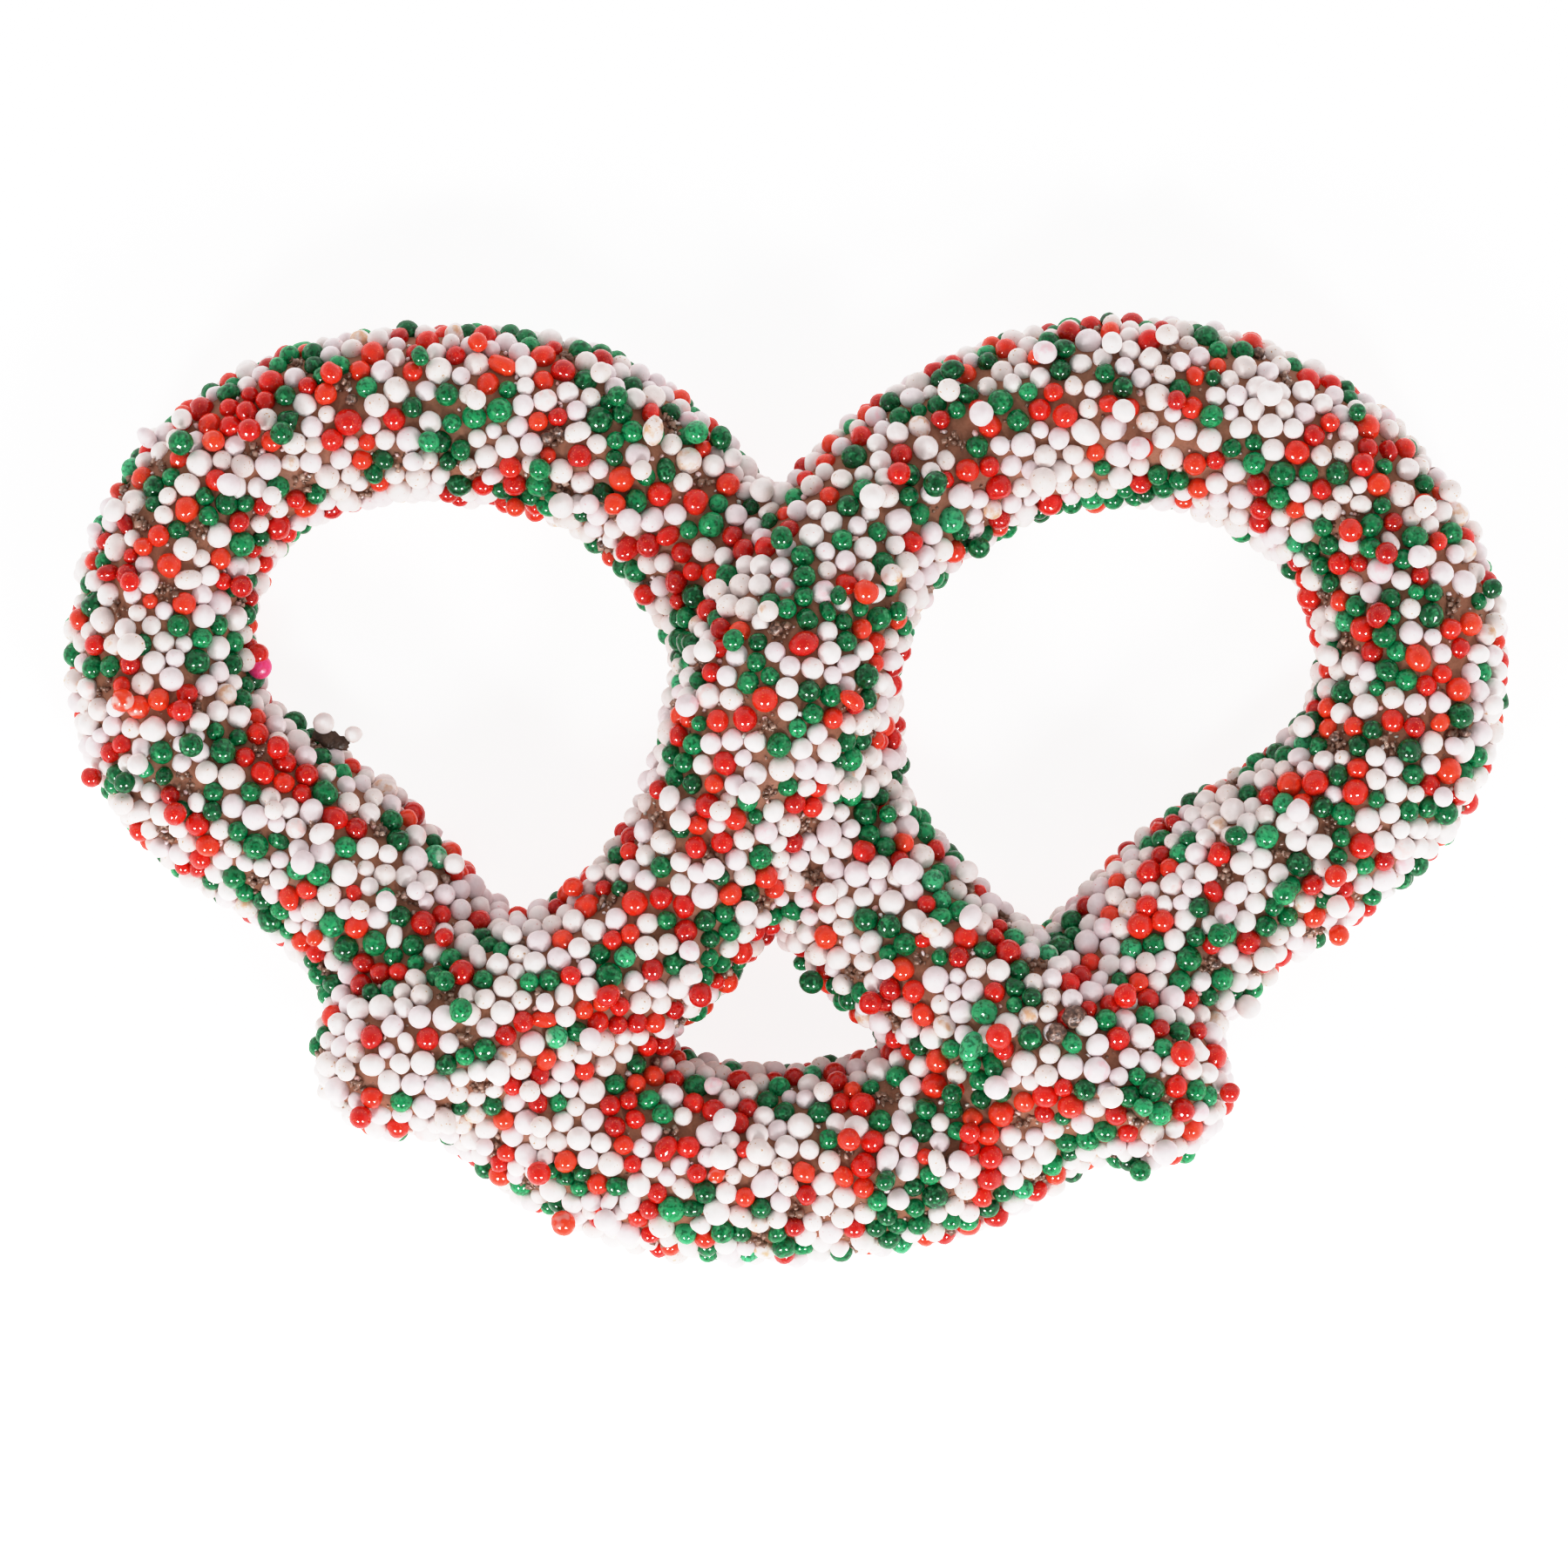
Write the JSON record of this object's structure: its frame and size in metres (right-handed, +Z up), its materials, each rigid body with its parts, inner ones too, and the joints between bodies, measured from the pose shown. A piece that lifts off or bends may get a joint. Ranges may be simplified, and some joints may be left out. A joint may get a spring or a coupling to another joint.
{
  "type": "chocolate covered pretzel",
  "caption": "Twisted pretzel dipped in milk chocolate and coated all over with white, red and green nonpareils, lying flat.",
  "frame": {"origin": "on the table, under the middle of the outline", "axes": "+X across both loops to the loop on the right, +Y from the belly with the two ends to the tops of the loops, +Z up to the shown side"},
  "size_m": [0.099, 0.0653, 0.0182],
  "materials": {
    "nonpareils": "sugar nonpareils in white, red and green over satin milk chocolate"
  },
  "bodies": {
    "root": {"chocolate_pretzel": "nonpareils"}
  },
  "joints": []
}
